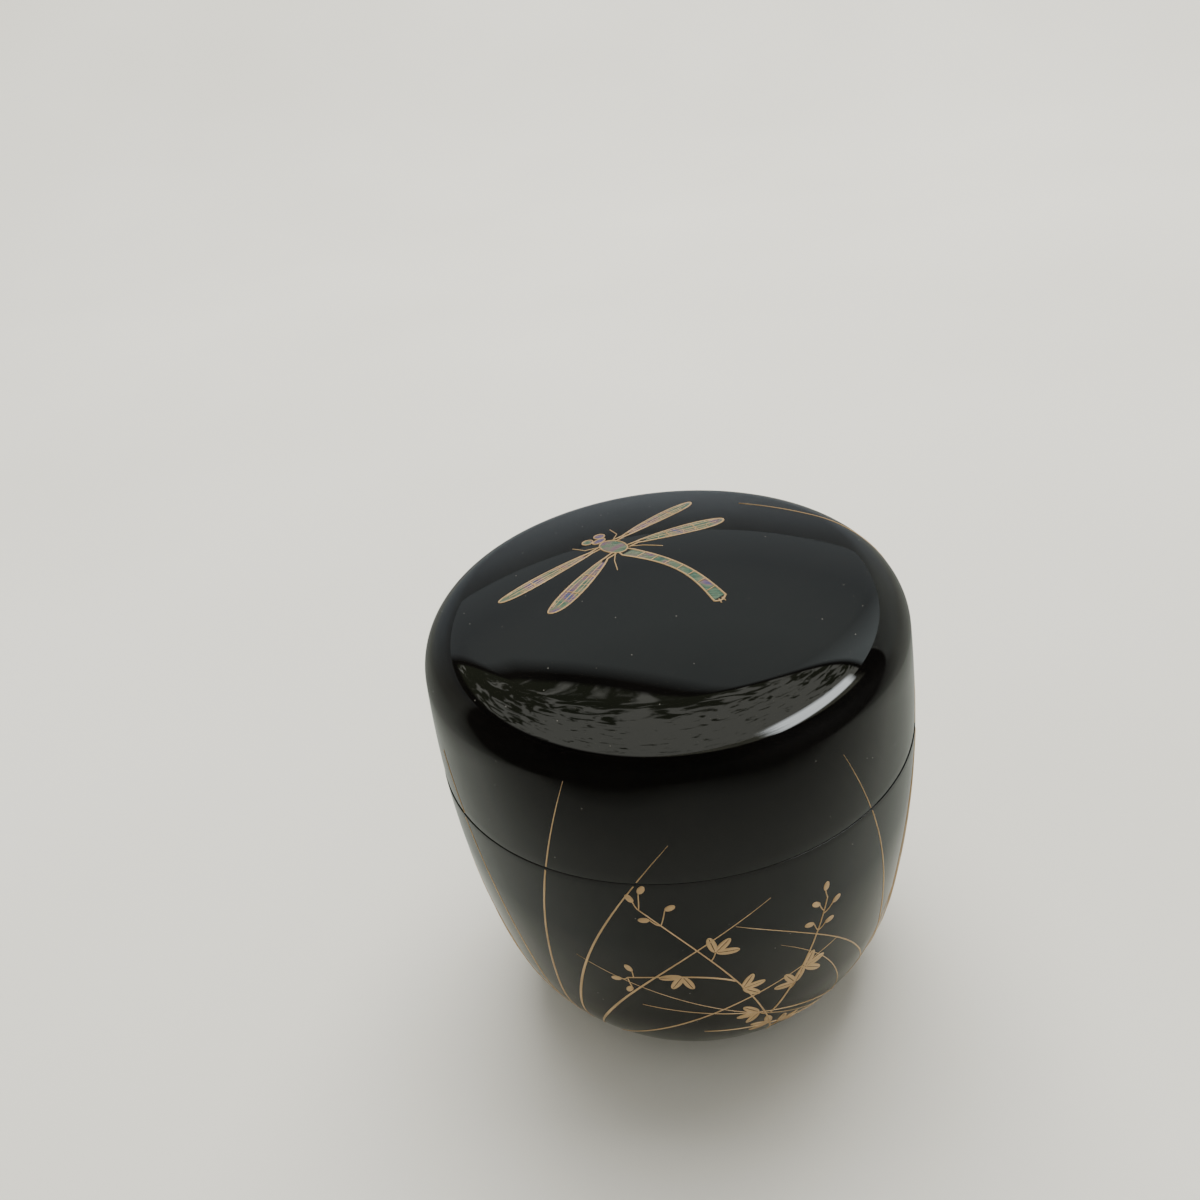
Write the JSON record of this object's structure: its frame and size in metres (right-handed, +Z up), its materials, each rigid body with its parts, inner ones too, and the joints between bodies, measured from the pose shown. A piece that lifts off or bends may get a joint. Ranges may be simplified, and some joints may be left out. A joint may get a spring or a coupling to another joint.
{
  "type": "tea caddy",
  "caption": "Round turned tea caddy with a domed lift-off lid, black lacquer, gold line work and shell inlay.",
  "frame": {"origin": "middle of the foot, on the surface that the caddy stands on", "axes": "+Z up through the middle of the lid, -Y the front as pictured, +X to its right"},
  "size_m": [0.0661, 0.066, 0.0681],
  "materials": {
    "black_lacquer": "mirror polished black lacquer",
    "turned_wood": "turned, bare",
    "ground_coat": "matte, ground flat",
    "hemp_cloth": "plain weave, soaked in lacquer",
    "gold": "fine gold powder, satin",
    "shell": "polished shell with green and pink lustre"
  },
  "bodies": {
    "body": {"body_wood_core": "turned_wood", "body_mouth_cloth": "hemp_cloth", "body_base_cloth": "hemp_cloth", "body_ground_coat": "ground_coat", "body_outer_lacquer": "black_lacquer", "body_inner_lacquer": "black_lacquer", "body_gold_blades": "gold", "body_gold_blades_over": "gold", "clover_stems": "gold", "clover_leaves": "gold", "clover_blossoms": "gold"},
    "lid_carrier": {"lid_mouth_cloth": "hemp_cloth"},
    "lid": {"lid_wood_core": "turned_wood", "lid_ground_coat": "ground_coat", "lid_outer_lacquer": "black_lacquer", "lid_inner_lacquer": "black_lacquer", "lid_gold_blades": "gold", "dragonfly_outlines": "gold", "dragonfly_veins": "gold", "left_fore_wing_shell": "shell", "right_fore_wing_shell": "shell", "left_hind_wing_shell": "shell", "right_hind_wing_shell": "shell", "abdomen_shell": "shell", "thorax_shell": "shell", "head_shell": "shell", "eye_shell": "shell"}
  },
  "joints": [
    {"name": "lid_lift", "type": "slide", "parent": "body", "child": "lid_carrier", "axis": [0, 0, 1], "range_m": [0, 0.03]},
    {"name": "lid_turn", "type": "hinge", "parent": "lid_carrier", "child": "lid", "pos_m": [0, 0, 0.043], "axis": [0, 0, 1], "continuous": true}
  ]
}
